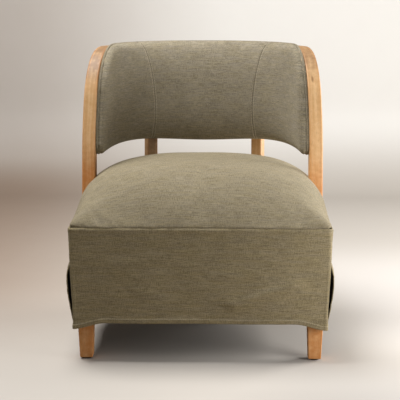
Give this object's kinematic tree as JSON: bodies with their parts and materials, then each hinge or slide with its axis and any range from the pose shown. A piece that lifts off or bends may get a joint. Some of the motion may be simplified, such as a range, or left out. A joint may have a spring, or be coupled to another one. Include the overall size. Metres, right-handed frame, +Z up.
{
  "type": "barrel chair",
  "caption": "Barrel chair with a bent oak hoop, curved linen back pad, crowned seat, loose skirt with open corner slits and tapered oak legs.",
  "frame": {"origin": "on the floor under the middle of the chair's box", "axes": "+Z up, the chair faces -Y, +X to the viewer's right when looking at its front"},
  "size_m": [0.684, 0.6482, 0.796],
  "materials": {
    "oak": "oiled oak with open grain",
    "frame_wood": "raw beech",
    "plywood": "raw bent plywood",
    "linen": "washed olive linen, visible weave and slubs",
    "foam": "upholstery foam",
    "webbing": "woven elastic webbing",
    "dust_cloth": "black cambric",
    "steel": "zinc plated",
    "nylon": "moulded nylon"
  },
  "bodies": {
    "root": {"back_foam": "foam", "back_front_cover": "linen", "back_shell": "plywood", "curved_seat_rail": "frame_wood", "dust_cover": "dust_cloth", "front_left_corner_block": "frame_wood", "front_left_glide": "nylon", "front_left_leg": "oak", "front_left_leg_bolt": "steel", "front_rail": "frame_wood", "front_right_corner_block": "frame_wood", "front_right_glide": "nylon", "front_right_leg": "oak", "front_right_leg_bolt": "steel", "left_front_rail_dowel": "frame_wood", "left_hoop_dowel": "frame_wood", "left_rear_post": "oak", "left_rear_post_bolt_lower": "steel", "left_rear_post_bolt_upper": "steel", "left_rear_post_dowel": "frame_wood", "left_rear_post_screw": "steel", "left_seat_rail_dowel": "frame_wood", "left_side_post": "oak", "left_side_post_bolt_lower": "steel", "left_side_post_bolt_upper": "steel", "left_side_post_screw": "steel", "outside_back_cover": "linen", "rear_left_glide": "nylon", "rear_left_leg": "oak", "rear_left_leg_bolt": "steel", "rear_right_glide": "nylon", "rear_right_leg": "oak", "rear_right_leg_bolt": "steel", "right_front_rail_dowel": "frame_wood", "right_hoop_dowel": "frame_wood", "right_rear_post": "oak", "right_rear_post_bolt_lower": "steel", "right_rear_post_bolt_upper": "steel", "right_rear_post_dowel": "frame_wood", "right_rear_post_screw": "steel", "right_seat_rail_dowel": "frame_wood", "right_side_post": "oak", "right_side_post_bolt_lower": "steel", "right_side_post_bolt_upper": "steel", "right_side_post_screw": "steel", "seat_cover": "linen", "seat_foam": "foam", "skirt_back": "linen", "skirt_front": "linen", "skirt_left": "linen", "skirt_right": "linen", "top_rail": "oak", "webbing_cross_front": "webbing", "webbing_cross_rear": "webbing", "webbing_left": "webbing", "webbing_middle": "webbing", "webbing_right": "webbing"}
  },
  "joints": []
}
